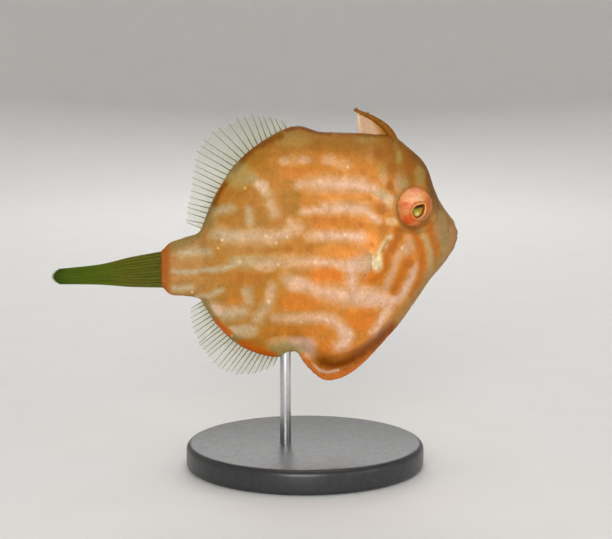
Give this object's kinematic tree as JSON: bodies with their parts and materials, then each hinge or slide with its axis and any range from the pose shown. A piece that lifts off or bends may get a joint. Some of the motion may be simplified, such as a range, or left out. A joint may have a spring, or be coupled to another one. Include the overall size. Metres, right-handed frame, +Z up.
{
  "type": "southern pygmy leatherjacket fish model on a display stand",
  "caption": "Deep, flat-sided small reef fish with a dorsal spine, keeled belly and folded tail fin, swimming above a plain round base on a short rod.",
  "frame": {"origin": "centre of the underside of the stand's base", "axes": "+X towards the snout, +Y towards the fish's left side, +Z up"},
  "size_m": [0.0817, 0.048, 0.0725],
  "materials": {
    "skin": "orange-brown skin with pale bands, velvety with small wet glints",
    "eye": "salmon-orange turret with a dark pupil in a gold ring",
    "clear_fin": "clear greenish membrane with fine dark rays",
    "tail_fin": "olive to yellow-green folded membrane with light rays",
    "spine": "orange-brown spine with a pinkish sail of skin",
    "base": "satin dark disc",
    "rod": "brushed"
  },
  "bodies": {
    "root": {"head": "skin", "mouth": "skin", "trunk": "skin", "tail_stalk": "skin", "ventral_flap": "skin", "eye_left": "eye", "eye_right": "eye", "dorsal_spine": "spine", "soft_dorsal_fin": "clear_fin", "anal_fin": "clear_fin", "pectoral_fin_left": "clear_fin", "pectoral_fin_right": "clear_fin", "caudal_fin": "tail_fin", "stand_base": "base", "stand_rod": "rod"}
  },
  "joints": []
}
